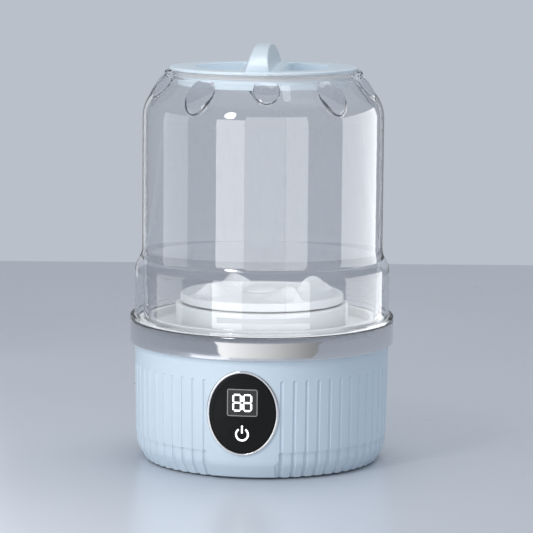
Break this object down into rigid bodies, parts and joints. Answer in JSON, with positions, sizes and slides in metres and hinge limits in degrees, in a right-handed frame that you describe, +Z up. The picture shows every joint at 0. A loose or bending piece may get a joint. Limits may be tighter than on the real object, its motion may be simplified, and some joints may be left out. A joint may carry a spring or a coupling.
{
  "type": "portable mini washer",
  "caption": "Small counter-top washer: fluted round base, clear barrel with a pulsator, silver trim ring, oval touch panel and a push-fit lid with an arched grip.",
  "frame": {"origin": "centre of the footprint, at the plane that the rubber feet stand on", "axes": "+Z up along the barrel's axis; -Y is the front, with the control panel; +X is to the right of the front as seen by a user who faces it"},
  "size_m": [0.165, 0.165, 0.26],
  "materials": {
    "blue_shell": "pale blue moulded plastic, satin",
    "blue_lid": "very pale blue moulded plastic, satin gloss",
    "silver_ring": "silver metallised plastic, satin gloss",
    "clear_plastic": "clear moulded plastic, polished",
    "white_plastic": "white moulded plastic, satin gloss",
    "bezel_chrome": "bright plated",
    "panel_black": "smoked black lens, glossy",
    "white_silicone": "white silicone, matt",
    "blue_silicone": "pale blue silicone, matt",
    "grey_rubber": "dark grey rubber, matt",
    "steel": "zinc plated",
    "motor_steel": "plated steel can",
    "bronze": "sintered bronze",
    "gear_plastic": "natural acetal",
    "case_plastic": "dark grey moulded plastic",
    "magnet": "ferrite, dull",
    "copper": "enamelled windings on a steel core",
    "board_green": "green circuit board",
    "chip_black": "black component bodies",
    "display_black": "black LED module",
    "cell_wrap": "blue shrink wrap on cylindrical cells",
    "nickel": "nickel strip",
    "lead_red": "insulated wire",
    "lead_grey": "insulated wire"
  },
  "bodies": {
    "base": {"base_shell": "blue_shell", "bottom_cover": "blue_shell", "rubber_feet": "grey_rubber", "cover_screws": "steel", "trim_ring": "silver_ring", "tub_floor": "white_plastic", "tub_screws": "steel", "barrel": "clear_plastic", "barrel_gasket": "white_silicone", "barrel_seal": "white_silicone", "shaft_seal": "grey_rubber", "gear_case": "case_plastic", "gear_cover": "case_plastic", "case_screws": "steel", "lower_bush": "bronze", "upper_bush": "bronze", "motor_can": "motor_steel", "motor_end_cap": "chip_black", "motor_magnets": "magnet", "motor_screws": "steel", "panel_glass": "panel_black", "panel_bezel": "bezel_chrome", "display_board": "board_green", "display_screws": "steel", "led_display": "display_black", "touch_spring": "steel", "display_leads": "lead_grey", "battery_cells": "cell_wrap", "battery_holder": "case_plastic", "battery_tabs": "nickel", "main_board": "board_green", "board_chips": "chip_black", "board_screws": "steel", "charge_board": "board_green", "usb_c_socket": "steel", "motor_leads": "lead_red", "battery_leads": "lead_red", "charge_leads": "lead_grey"},
    "impeller": {"pulsator": "white_plastic", "pulsator_cap": "white_plastic", "pulsator_screw": "steel", "drive_shaft": "steel", "drive_gear": "gear_plastic", "shaft_circlip": "steel"},
    "motor_rotor": {"motor_shaft": "steel", "motor_armature": "copper", "motor_pinion": "bronze"},
    "lid_seal": {"lid_seal": "white_silicone"},
    "lid": {"lid": "blue_lid", "lid_plate": "blue_lid"},
    "port_flap": {"port_flap": "blue_silicone"}
  },
  "joints": [
    {"name": "pulsator_spin", "type": "hinge", "parent": "base", "child": "impeller", "pos_m": [0, 0, 0.1], "axis": [0, 0, 1], "continuous": true},
    {"name": "motor_spin", "type": "hinge", "parent": "base", "child": "motor_rotor", "pos_m": [0, 0.03, 0.045], "axis": [0, 0, 1], "continuous": true},
    {"name": "lid_lift", "type": "slide", "parent": "base", "child": "lid_seal", "axis": [0, 0, 1], "range_m": [0, 0.13]},
    {"name": "lid_turn", "type": "hinge", "parent": "lid_seal", "child": "lid", "pos_m": [0, 0, 0.245], "axis": [0, 0, 1], "continuous": true},
    {"name": "port_flap_hinge", "type": "hinge", "parent": "base", "child": "port_flap", "pos_m": [0, 0.078, 0.0289], "axis": [1, 0, 0], "range_deg": [0, 95]}
  ],
  "couplings": [
    {"joint": "motor_spin", "follows": "pulsator_spin", "ratio": -4}
  ]
}
